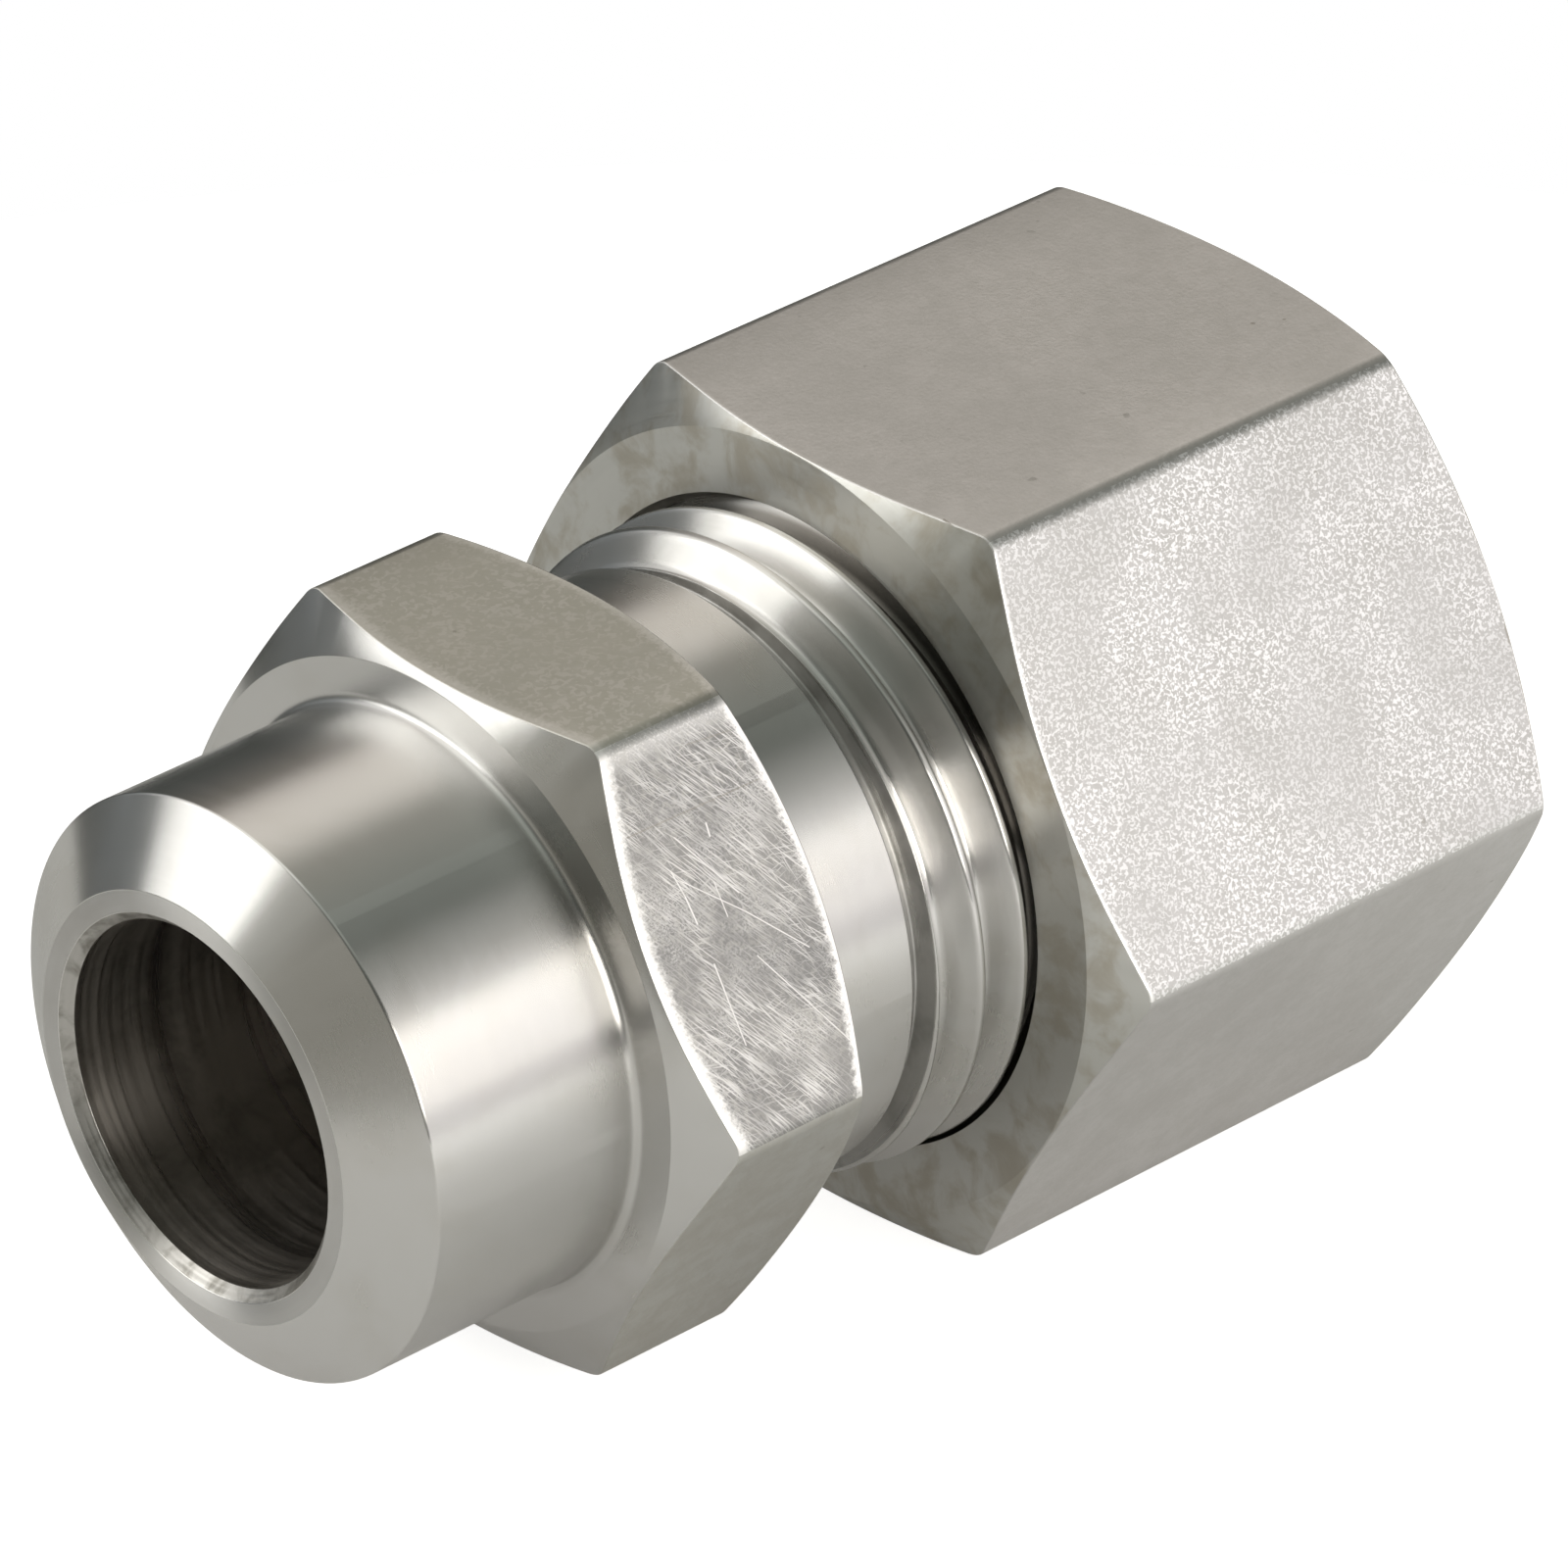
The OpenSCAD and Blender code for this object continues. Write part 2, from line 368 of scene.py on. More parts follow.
def segmentMark(t, flat, start, end, wide):
    # one scratch between two places on a flat, all in mm
    ends = [Vector((p[0] * mm, p[1] * mm, 0)) for p in (start, end)]
    along = (ends[1] - ends[0]).normalized()
    toPoint = t.tree.nodes.new("ShaderNodeVectorMath")
    toPoint.operation = "SUBTRACT"
    t.put(toPoint.inputs[0], flat)
    toPoint.inputs[1].default_value = ends[0]
    reach = t.tree.nodes.new("ShaderNodeVectorMath")
    reach.operation = "DOT_PRODUCT"
    t.put(reach.inputs[0], toPoint.outputs[0])
    reach.inputs[1].default_value = along
    kept = t.math("MINIMUM", t.math("MAXIMUM", reach.outputs["Value"], 0.0), (ends[1] - ends[0]).length)
    foot = t.tree.nodes.new("ShaderNodeVectorMath")
    foot.operation = "SCALE"
    foot.inputs[0].default_value = along
    t.put(foot.inputs["Scale"], kept)
    away = t.tree.nodes.new("ShaderNodeVectorMath")
    away.operation = "DISTANCE"
    t.put(away.inputs[0], toPoint.outputs[0])
    t.put(away.inputs[1], foot.outputs[0])
    return t.spread(away.outputs["Value"], wide * mm * 0.4, wide * mm, 1.0, 0.0)


def scratchFamily(t, place, family):
    # long thin marks: noise stretched along one direction of a flat, cut off below a threshold
    turned = t.tree.nodes.new("ShaderNodeMapping")
    turned.inputs["Location"].default_value = (family["seed"], family["seed"] * 0.37, 0)
    turned.inputs["Rotation"].default_value = (0, 0, math.radians(family["angle"]))
    t.put(turned.inputs["Vector"], place)
    split = t.tree.nodes.new("ShaderNodeSeparateXYZ")
    t.tree.links.new(turned.outputs[0], split.inputs[0])
    bend = t.math("MULTIPLY", t.noise(turned.outputs[0], family["wave"], 1.0), 0.18 * mm)
    along = t.math("MULTIPLY", split.outputs[0], family["along"])
    across = t.math("MULTIPLY", t.math("ADD", split.outputs[1], bend), family["across"])
    mark = t.noise(t.vector(along, across, family["seed"]), 1.0, 1.0, 0.5)
    return t.math("MULTIPLY", t.spread(mark, family["above"], family["above"] + 0.07), family["amount"])


def flatPlace(t, x, y, z):
    # position on a hex flat, in metres: along the axis, and across the flat from its middle
    angle = t.math("ARCTAN2", z, y)
    sector = t.math("FLOOR", t.math("DIVIDE", angle, math.pi / 3))
    facing = t.math("MULTIPLY", t.math("ADD", sector, 0.5), math.pi / 3)
    fromZ = t.math("MULTIPLY", z, t.math("COSINE", facing))
    across = t.math("SUBTRACT", fromZ, t.math("MULTIPLY", y, t.math("SINE", facing)))
    return t.vector(x, across, t.math("MULTIPLY", sector, 12 * mm)), t.vector(x, across, 0.0), sector


def wear(t, look, flat, level, cloud, onWorn, colour, normal):
    # the worn flat: families of fine scratches, wear along its upper edge, and single marks
    marks = 0.0
    for family in look["scratches"]:
        marks = t.math("MAXIMUM", marks, scratchFamily(t, flat, family))
    patch = t.spread(t.noise(flat, look["scratchPatch"], 2.0), 0.36, 0.62, 0.25, 1.0)
    marks = t.math("MULTIPLY", marks, patch)
    split = t.tree.nodes.new("ShaderNodeSeparateXYZ")
    t.put(split.inputs[0], level)
    low, high = look["wornEdge"]
    nearEdge = t.spread(split.outputs[1], low * mm, high * mm, 1.0, 0.0)
    speck = t.spread(t.noise(flat, look["speckScale"], 2.0, 0.6, 0.5), 0.45, 0.62)
    wearPatch = t.spread(t.noise(flat, look["scratchPatch"] * 0.8, 3.0, 0.6), 0.46, 0.66, 0.05, 0.5)
    marks = t.math("MAXIMUM", marks, t.math("MULTIPLY", speck, t.math("MAXIMUM", wearPatch, nearEdge)))
    marks = t.math("MAXIMUM", marks, t.math("MULTIPLY", nearEdge, 0.6))
    for start, end, wide in look["brightMarks"]:
        marks = t.math("MAXIMUM", marks, segmentMark(t, level, start, end, wide))
    dark = 0.0
    for start, end, wide in look["darkMarks"]:
        dark = t.math("MAXIMUM", dark, segmentMark(t, level, start, end, wide))
    elsewhere = look["scratchElsewhere"]
    scratch = t.math("MULTIPLY", marks, t.math("ADD", t.math("MULTIPLY", onWorn, 1 - elsewhere), elsewhere))
    dark = t.math("MULTIPLY", dark, onWorn)
    colour = t.mix(onWorn, colour, t.mix(t.spread(cloud, 0.35, 0.7), look["worn"], look["wornCloud"]))
    colour = t.mix(scratch, colour, look["scratch"])
    colour = t.mix(t.math("MULTIPLY", dark, 0.5), colour, look["pit"])
    return colour, t.bump(scratch, look["scratchRelief"] * mm, under=normal)


def rimOf(t, look, flat, sector, x, r):
    # painted highlight: near-white colour on the rounded rims where the end chamfers meet the flats, on the right flat
    # and weaker on the top one
    ends = look["ends"]
    cone = t.math("MULTIPLY", t.math("SUBTRACT", r, ends["faceRadius"] * mm), math.tan(math.radians(ends["angle"])))
    front = t.math("SUBTRACT", t.math("SUBTRACT", x, ends["start"] * mm), cone)
    back = t.math("SUBTRACT", t.math("SUBTRACT", ends["end"] * mm, x), cone)
    chip = t.math("MULTIPLY", t.math("SUBTRACT", t.noise(flat, look["rimChipScale"], 4.0, 0.75), 0.5), look["rimChip"] * mm)
    near = []
    for depth, wide in zip((front, back), look["rimWidth"]):
        near.append(t.spread(t.math("ADD", depth, chip), wide * mm * 0.25, wide * mm, 1.0, 0.0))
    atTop = t.math("MULTIPLY", onFlat(t, sector, 1.0), look["rimTop"])
    return t.math("MULTIPLY", t.math("MAXIMUM", *near), t.math("ADD", onFlat(t, sector, look["rimFlat"]), atTop))


def makeDrawn(name, look):
    # drawn and pickled hex bar: pebbled skin, soft clouds, small dark pits, painted glints and painted rim highlights,
    # and wear on one flat
    mat = newMaterial(name)
    t = Nodes(mat.node_tree)
    _, x, y, z, r = objectPlace(t)
    flat, level, sector = flatPlace(t, x, y, z)
    pebble = t.noise(flat, look["pebbleScale"], 1.5, 0.55, 0.6)
    skin = t.noise(flat, look["skinScale"], 3.0, 0.6)
    cloud = t.noise(flat, look["cloudScale"], 4.0, 0.55, 0.5)
    pit = t.spread(t.noise(flat, look["pitScale"], 1.0, 0.4), 0.78, 0.84)
    # glints: on the nut's right flat, near-white specks painted into the colour as highlights; on the body's top flat
    # the same specks are a faint brownish mottling
    glint = t.spread(t.noise(flat, look["glintScale"], 1.0, 0.5, 0.7), look["glintFrom"], look["glintFrom"] + 0.12)
    glintPatch = t.spread(t.noise(flat, look["cloudScale"] * 0.8, 2.0), 0.34, 0.62, 0.5, 1.0)
    elsewhere = look["glintElsewhere"]
    onGlint = t.math("ADD", t.math("MULTIPLY", onFlat(t, sector, look["glintFlat"]), 1 - elsewhere), elsewhere)
    onWorn = onFlat(t, sector, look["wornFlat"])
    colour = t.mix(t.spread(cloud, 0.35, 0.7), look["colour"], look["cloud"])
    grain = t.spread(t.noise(flat, look["skinScale"] * 0.7, 4.0, 0.75), 0.4, 0.62, 0.0, look["grain"])
    colour = t.mix(grain, colour, look["grainColour"])
    onStained = t.math("MULTIPLY", onFlat(t, sector, look["stainedFlat"]), t.spread(skin, 0.3, 0.6, 0.75, 1.0))
    colour = t.mix(onStained, colour, look["stained"])
    colour = t.mix(t.math("MULTIPLY", pit, 0.45), colour, look["pit"])
    rough = t.math("ADD", t.spread(cloud, 0.3, 0.7, *look["rough"]), t.math("MULTIPLY", pit, 0.15))
    normal = t.bump(pebble, look["pebbleRelief"] * mm)
    normal = t.bump(skin, look["skinRelief"] * mm, under=normal)
    if look.get("scratches"):
        colour, normal = wear(t, look, flat, level, cloud, onWorn, colour, normal)
    rimmed = rimOf(t, look, flat, sector, x, r)
    # painted glints mixed into the colour
    colour = t.mix(t.math("MULTIPLY", t.math("MULTIPLY", glint, glintPatch), onGlint), colour, look["glint"])
    # painted rim highlight: the rims are mixed towards near-white
    colour = t.mix(rimmed, colour, look["rim"])
    for facing, start, end, wide in look["nicks"]:
        nick = t.math("MULTIPLY", segmentMark(t, level, start, end, wide), onFlat(t, sector, facing))
        colour = t.mix(t.math("MULTIPLY", nick, 0.8), colour, look["pit"])
    steelShader(mat, colour, rough, normal)
    return mat


turnedLooks = {
    "body": {
        "colour": (0.62, 0.615, 0.6), "stain": (0.585, 0.575, 0.55), "rough": (0.24, 0.262),
        "fineLines": 26200, "broadLines": 4090, "stainScale": 213, "relief": 0.00005, "anisotropic": 0.85,
        # painted shade: the roots inside the nut are coloured dark, standing in for the shade that gives the gap at its
        # mouth
        "paintedRootShade": {"after": nutLow[0] - 0.15, "below": (8.5, 8.8), "colour": (0.18, 0.17, 0.155)},
    },
    # painted highlight: the body's turned steel made lighter for the neck, standing in for the brighter light along it
    "neck": {
        "colour": (0.68, 0.675, 0.66), "stain": (0.64, 0.63, 0.605), "rough": (0.24, 0.262),
        "fineLines": 26200, "broadLines": 4090, "stainScale": 213, "relief": 0.00005, "anisotropic": 0.85,
    },
    "shoulder": {
        "colour": (0.5, 0.495, 0.48), "stain": (0.36, 0.355, 0.34), "rough": (0.2, 0.45),
        "fineLines": 8200, "broadLines": 5200, "stainScale": 500, "relief": 0.0035, "anisotropic": 0.6,
    },
    "mouth": {
        "colour": (0.5, 0.49, 0.465), "stain": (0.27, 0.26, 0.235), "rough": (0.3, 0.5),
        "fineLines": 9000, "broadLines": 3000, "stainScale": 1150, "relief": 0.002, "anisotropic": 0.2,
    },
    "land": {
        "colour": (0.6, 0.595, 0.58), "stain": (0.57, 0.56, 0.54), "rough": (0.44, 0.5),
        "fineLines": 26200, "broadLines": 4090, "stainScale": 213, "relief": 0.0002, "anisotropic": 0.95,
    },
    "nut": {
        "colour": (0.63, 0.63, 0.6), "stain": (0.5, 0.475, 0.415), "rough": (0.3, 0.38),
        "fineLines": 22900, "broadLines": 3600, "stainScale": 760, "relief": 0.0003, "anisotropic": 0.85,
    },
    "ring": {
        "colour": (0.5, 0.49, 0.47), "stain": (0.46, 0.45, 0.42), "rough": (0.2, 0.3),
        "fineLines": 22900, "broadLines": 3600, "stainScale": 327, "relief": 0.00049, "anisotropic": 0.4,
    },
    "bore": {
        "colour": (0.5, 0.47, 0.43), "stain": (0.3, 0.28, 0.25), "rough": (0.24, 0.4),
        "fineLines": 5200, "broadLines": 1100, "stainScale": 420, "relief": 0.0022, "anisotropic": 0.7,
    },
    "inside": {
        "colour": (0.3, 0.285, 0.26), "stain": (0.2, 0.19, 0.17), "rough": (0.35, 0.5),
        "fineLines": 9820, "broadLines": 1470, "stainScale": 491, "relief": 0.002, "anisotropic": 0.3,
    },
}
# flats are counted from 0 at +Y: 1 is the top one, 2 the one at the camera's right, 3 the one below it
noFlat = 9.0
drawnLooks = {
    "body": {
        "colour": (0.565, 0.565, 0.535), "cloud": (0.52, 0.51, 0.475), "pit": (0.3, 0.28, 0.24), "rough": (0.36, 0.44),
        "pebbleScale": 8510, "pebbleRelief": 0.00092, "skinScale": 2450, "skinRelief": 0.00092,
        "cloudScale": 425, "pitScale": 2780,
        "glintFlat": 1.0, "glintScale": 5200, "glintFrom": 0.5, "glintElsewhere": 0.3, "glint": (0.54, 0.53, 0.49),
        "grain": 0.5, "grainColour": (0.47, 0.455, 0.41),
        "stainedFlat": 1.0, "stained": (0.455, 0.45, 0.4),
        "wornFlat": 2.0, "worn": (0.235, 0.233, 0.227), "wornCloud": (0.315, 0.31, 0.3), "wornEdge": (-5.25, -4.45),
        "scratch": (0.78, 0.77, 0.755), "scratchElsewhere": 0.08, "scratchPatch": 687, "scratchRelief": 0.001,
        "speckScale": 17000,
        # rim: painted highlight, near-white rims at the ends of the right flat, weaker on the top flat
        "rimFlat": 2.0, "rimTop": 0.3, "rim": (0.92, 0.91, 0.89), "rimWidth": (0.5, 0.34),
        "rimChip": 0.6, "rimChipScale": 7900,
        "ends": {"start": 7.9, "end": 13.9, "angle": 30, "faceRadius": 9.25},  # as in weldBody
        "scratches": [
            {"across": 21000, "along": 620, "angle": -53, "wave": 330, "above": 0.57, "seed": 3.0, "amount": 0.85},
            {"across": 24000, "along": 760, "angle": -47, "wave": 250, "above": 0.585, "seed": 7.0, "amount": 0.8},
            {"across": 19000, "along": 560, "angle": -60, "wave": 410, "above": 0.59, "seed": 11.0, "amount": 0.8},
            {"across": 22000, "along": 900, "angle": -75, "wave": 330, "above": 0.61, "seed": 13.0, "amount": 0.6},
            {"across": 22000, "along": 900, "angle": -12, "wave": 330, "above": 0.61, "seed": 17.0, "amount": 0.6},
            {"across": 19000, "along": 1100, "angle": 15, "wave": 330, "above": 0.63, "seed": 29.0, "amount": 0.5},
        ],
        # single marks: start, end and width in mm, along the axis and across the flat
        "brightMarks": [
            ((9.96, 0.71), (9.99, 1.72), 0.03), ((9.99, 1.72), (10.04, 2.91), 0.026),
            ((9.67, -1.88), (9.82, -1.14), 0.028), ((9.82, -1.14), (9.89, -0.40), 0.034),
            ((11.17, -2.62), (11.15, -2.28), 0.037), ((10.11, -2.63), (11.40, -0.67), 0.025),
            ((9.83, -1.58), (11.40, -0.17), 0.021), ((11.40, -0.17), (12.88, 1.36), 0.024),
            ((11.29, 0.99), (13.21, 4.14), 0.024), ((10.80, -1.19), (10.84, -0.24), 0.021),
        ],
        "darkMarks": [((8.69, -3.13), (13.30, -3.06), 0.028), ((11.42, -4.63), (12.85, -4.49), 0.024)],
        "nicks": [(3.0, (11.56, -1.85), (11.59, -1.83), 0.06)],  # flat, start, end, width
    },
    "nut": {
        "colour": (0.605, 0.597, 0.585), "cloud": (0.57, 0.56, 0.545), "pit": (0.35, 0.33, 0.3), "rough": (0.34, 0.4),
        "pebbleScale": 7500, "pebbleRelief": 0.004, "skinScale": 2950, "skinRelief": 0.0018,
        "cloudScale": 360, "pitScale": 2450,
        # glint: painted highlights, near-white specks on the right flat
        "glintFlat": 2.0, "glintScale": 10000, "glintFrom": 0.475, "glintElsewhere": 0.06, "glint": (0.94, 0.935, 0.935),
        "grain": 0.5, "grainColour": (0.53, 0.525, 0.505),
        "stainedFlat": noFlat, "stained": (0.5, 0.5, 0.5), "wornFlat": noFlat,
        # rim: painted highlight, near-white rims at the ends of the right flat, weaker on the top flat
        "rimFlat": 2.0, "rimTop": 0.15, "rim": (0.97, 0.965, 0.95), "rimWidth": (0.15, 0.05),
        "rimChip": 0.12, "rimChipScale": 7900,
        "ends": {"start": nutLow[0], "end": nutHigh[0], "angle": 26, "faceRadius": nutHigh[2] - 0.04},  # as in unionNut
        "nicks": [
            (1.0, (21.2, 4.81), (21.15, 5.3), 0.05), (1.0, (21.22, 5.76), (21.1, 6.3), 0.06),
            (1.0, (34.17, 2.73), (34.2, 2.75), 0.07), (1.0, (34.93, 3.13), (34.95, 3.14), 0.05),
            (2.0, (36.35, 1.43), (36.31, 1.88), 0.09),
        ],
    },
}
bodyTurned = makeTurned("turned_steel", turnedLooks["body"])
landTurned = makeTurned("land_steel", turnedLooks["land"])
bodyDrawn = makeDrawn("drawn_steel", drawnLooks["body"])
boreSteel = makeTurned("bore_steel", turnedLooks["bore"])
insideSteel = makeTurned("inside_steel", turnedLooks["inside"])
mouthSteel = makeTurned("mouth_steel", turnedLooks["mouth"])
shoulderSteel = makeTurned("shoulder_steel", turnedLooks["shoulder"])
# painted highlight: a lighter copy of the body's turned steel, used on the neck
neckTurned = makeTurned("neck_painted_highlight_steel", turnedLooks["neck"])
nutTurned = makeTurned("nut_turned_steel", turnedLooks["nut"])
nutDrawn = makeDrawn("nut_drawn_steel", drawnLooks["nut"])
ringTurned = makeTurned("ring_turned_steel", turnedLooks["ring"])
print("materials made")


# weld body

weldBody = {
    "spigotRadius": 8.0,  # all in mm and degrees
    "landRadius": 5.9,
    "boreRadius": 5.0,
    "mouthChamfer": 0.3,
    "bevelAt": 1.312,
    "hexAt": 7.9,
    "hexLength": 6.0,
    "faceIn": 0.25,
    "chamferAngle": 30,
    "neckRadius": 8.35,
    "neckLength": 3.1,
    "undercutDepth": 0.35,
    "undercutLength": 0.25,  # up to the thread's shoulder
    "shoulderAngle": 8,
    "socketRadius": 6.08,
    "seatAngle": 12,  # half of the 24 degree cone
    "coneMouth": 7.15,
    "seatDepth": 7.0,
}
flatHalf = bodyHigh[2]
cornerFar = bodyHigh[1]
bodyAngles = hexAngles(flatHalf, cornerFar, 24, 5)  # columns on a flat, and on half a corner
b = weldBody
hexR = hexRadius(flatHalf, cornerFar, bodyAngles)
faceR = flatHalf - b["faceIn"]
run = (hexR - faceR) * math.tan(math.radians(b["chamferAngle"]))
neckAt = b["hexAt"] + b["hexLength"]
undercutAt = neckAt + b["neckLength"]
floorR = b["neckRadius"] - b["undercutDepth"]
floorAt = undercutAt + b["undercutDepth"] / 2
threadAt = floorAt + b["undercutLength"]
endAt = bodyHigh[0]
rootR = thread["outer"] - thread["depth"]
startAt = threadAt + (thread["runInStart"] - floorR) * math.tan(math.radians(b["shoulderAngle"]))
fullAt = startAt + (thread["outer"] - thread["runInStart"]) / math.tan(math.radians(thread["runInAngle"]))
coneAt = endAt - (b["coneMouth"] - b["socketRadius"]) / math.tan(math.radians(b["seatAngle"]))


def bodyThread(x, angles):
    top = thread["outer"]
    envelope = np.interp(x, [threadAt, startAt, fullAt, endAt - (top - rootR), endAt],
                         [floorR, thread["runInStart"], top, top, rootR])
    return softMin(ridge(x, angles), envelope, thread["endSoft"])


outer = [
    (0, b["boreRadius"] + b["mouthChamfer"], 0, 0, landTurned),
    (0, b["landRadius"], 0.07, 4, bodyTurned),
    (b["bevelAt"], b["spigotRadius"], 0.12, 5, bodyTurned),
    (b["hexAt"], b["spigotRadius"], 0.31, 8, bodyTurned),
    (b["hexAt"], faceR, 0.07, 4, bodyTurned),
    (b["hexAt"] + run, hexR, 0.05, 3, bodyDrawn),
    (neckAt - run, hexR, 0.05, 3, bodyTurned),
    (neckAt, faceR, 0.07, 4, bodyTurned),
    (neckAt, b["neckRadius"], 0.18, 5, bodyTurned),
    (undercutAt, b["neckRadius"], 0.07, 4, neckTurned),
    (floorAt, floorR, 0.07, 3, shoulderSteel),
    (threadAt - 0.05, floorR, 0, 0, shoulderSteel),  # just before the thread's own rows
]
rows, finishes = softenCorners(outer, bodyAngles)
phases = [0, 0.03, 0.06, 0.09, 0.15, 0.22, 0.29, 0.35, 0.395, 0.42, 0.445, 0.47,
          0.5, 0.53, 0.555, 0.58, 0.605, 0.65, 0.71, 0.78, 0.85, 0.91, 0.94, 0.97]  # closer at the root and the crest
shoulderRows = 12
threadPart = levelRows(bodyThread, bodyAngles, np.linspace(threadAt, startAt, shoulderRows + 1)[:-1])
threadPart += threadRows(bodyThread, bodyAngles, startAt, endAt - thread["endLevel"], phases)
threadPart += levelRows(bodyThread, bodyAngles, np.linspace(endAt - thread["endLevel"], endAt, 13)[1:])
rows += threadPart
finishes += [shoulderSteel] * (shoulderRows - 1) + [bodyTurned] * (len(threadPart) - shoulderRows + 1)
inner = [
    (endAt, rootR - join, 0, 0, bodyTurned),
    (endAt, b["coneMouth"], 0.06, 3, bodyTurned),
    (coneAt, b["socketRadius"], 0.06, 2, bodyTurned),
    (endAt - b["seatDepth"], b["socketRadius"], 0.09, 3, bodyTurned),
    (endAt - b["seatDepth"], b["boreRadius"], 0.06, 3, boreSteel),
    (b["mouthChamfer"], b["boreRadius"], 0.05, 3, mouthSteel),
    (join, b["boreRadius"] + b["mouthChamfer"] - join, 0, 0, bodyTurned),
]
more, moreFinishes = softenCorners(inner, bodyAngles)
rows += more
finishes += moreFinishes
bodyFinishes = [bodyTurned, landTurned, bodyDrawn, boreSteel, mouthSteel, shoulderSteel, neckTurned]
weldPiece = turnedMesh("weld_body_steel", rows, finishes, bodyAngles, bodyFinishes)
keepFlatsFlat(weldPiece)
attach(weldPiece, "weld_body")
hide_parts("weld_body")
print("weld body built")


# union nut

unionNut = {
    "mouthRadius": 9.13,  # all in mm and degrees
    "mouthDepth": 0.35,
    "mouthAngle": 60,
    "faceIn": 0.04,
    "chamferAngle": 26,
    "holeRadius": 6.27,
    "holeChamfer": 0.3,
    "web": 5.0,
    "reliefLength": 1.0,
    "relief": 0.25,
    "boreRadius": 9.04,
}
n = unionNut
nutFlat = nutHigh[2]
nutFar = nutHigh[1]
nutAngles = hexAngles(nutFlat, nutFar, 28, 5)
nutR = hexRadius(nutFlat, nutFar, nutAngles)
nutFace = nutFlat - n["faceIn"]
nutRun = (nutR - nutFace) * math.tan(math.radians(n["chamferAngle"]))
nutAt, nutEnd = nutLow[0], nutHigh[0]
nutConeEnd = nutEnd - n["web"]
nutConeAt = nutConeEnd - (n["boreRadius"] - n["holeRadius"])
nutReliefAt = nutConeAt - n["reliefLength"]
leaveAt = nutReliefAt - thread["leaveLength"]


def nutThread(x, angles):
    grown = np.maximum(ridge(x, angles) + thread["clearance"], thread["nutCrest"])
    sink = n["mouthRadius"] - np.maximum(x - nutAt - n["mouthDepth"], 0) * math.tan(math.radians(n["mouthAngle"]))
    leave = np.interp(x, [leaveAt, nutReliefAt], [thread["nutCrest"] - thread["leaveDrop"], n["boreRadius"]])
    return -softMin(-grown, -np.maximum(sink, leave), thread["nutSoft"])


outer = [
    (nutAt, n["mouthRadius"] + 0.01, 0, 0, nutTurned),
    (nutAt, nutFace, 0.06, 3, nutTurned),
    (nutAt + nutRun, nutR, 0.06, 3, nutDrawn),
    (nutEnd - nutRun, nutR, 0.06, 3, nutTurned),
    (nutEnd, nutFace, 0.06, 3, nutTurned),
    (nutEnd, n["holeRadius"] + n["holeChamfer"], 0.05, 3, nutTurned),
    (nutEnd - n["holeChamfer"], n["holeRadius"], 0.05, 3, nutTurned),
    (nutConeEnd, n["holeRadius"], 0.06, 3, nutTurned),
    (nutConeAt, n["boreRadius"], 0.06, 3, nutTurned),
    (nutConeAt - n["relief"], n["boreRadius"] + n["relief"], 0.06, 3, nutTurned),
    (nutReliefAt + n["relief"], n["boreRadius"] + n["relief"], 0.06, 3, nutTurned),
    (nutReliefAt + join, n["boreRadius"] + join, 0, 0, nutTurned),
]
rows, finishes = softenCorners(outer, nutAngles)
nutPhases = phases[::2]
threadPart = levelRows(nutThread, nutAngles, np.linspace(nutAt, nutAt + thread["endLevel"], 16)[:-1])
threadPart += threadRows(nutThread, nutAngles, nutAt + thread["endLevel"], leaveAt, nutPhases)
threadPart += levelRows(nutThread, nutAngles, np.linspace(leaveAt, nutReliefAt, 8)[1:])
rows += threadPart[::-1]
finishes += [insideSteel] * len(threadPart)
nutPiece = turnedMesh("union_nut_steel", rows, finishes, nutAngles, [nutTurned, nutDrawn, insideSteel])
keepFlatsFlat(nutPiece)
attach(nutPiece, "union_nut")
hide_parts("union_nut")
print("union nut built")


# cutting ring

cuttingRing = {
    "nose": 0.3,
    "bore": 6.1,
    "taperLength": 4.0,
    "taperAngle": 10,
    "collarLength": 1.0,
    "rear": 0.4,
    "edgeWidth": 0.55,
    "relief": 0.2,
}
c = cuttingRing
ringAt, ringEnd = ringLow[0], ringHigh[0]
collarR = ringHigh[2]
ringAngles = np.linspace(0, 2 * math.pi, 193)
shoulderR = c["bore"] + c["nose"] + c["taperLength"] * math.tan(math.radians(c["taperAngle"]))
collarAt = ringAt + c["taperLength"] + collarR - shoulderR
outline = [
    (ringAt, c["bore"] + join, 0, 0, ringTurned),
    (ringAt, c["bore"] + c["nose"], 0.04, 2, ringTurned),
    (ringAt + c["taperLength"], shoulderR, 0.12, 3, ringTurned),
    (collarAt, collarR, 0.09, 3, ringTurned),
    (collarAt + c["collarLength"], collarR, 0.12, 3, ringTurned),
    (ringEnd, c["bore"] + c["rear"], 0.05, 2, ringTurned),
    (ringEnd, c["bore"], 0.04, 2, ringTurned),
    (ringAt + 3 * c["edgeWidth"] + c["relief"], c["bore"], 0.03, 1, ringTurned),
    (ringAt + 3 * c["edgeWidth"], c["bore"] + c["relief"], 0.03, 1, ringTurned),
    (ringAt + 2 * c["edgeWidth"], c["bore"] + c["relief"] / 2, 0.02, 1, ringTurned),
    (ringAt + 2 * c["edgeWidth"], c["bore"], 0.02, 1, ringTurned),
    (ringAt + c["edgeWidth"], c["bore"] + c["relief"] / 2, 0.02, 1, ringTurned),
    (ringAt + c["edgeWidth"], c["bore"], 0.02, 1, ringTurned),
    (ringAt + join, c["bore"], 0, 0, ringTurned),
]
rows, finishes = softenCorners(outline, ringAngles)
ringPiece = turnedMesh("cutting_ring_steel", rows, finishes, ringAngles, [ringTurned])
keepFlatsFlat(ringPiece)
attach(ringPiece, "cutting_ring")
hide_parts("cutting_ring")
print("cutting ring built")


# camera

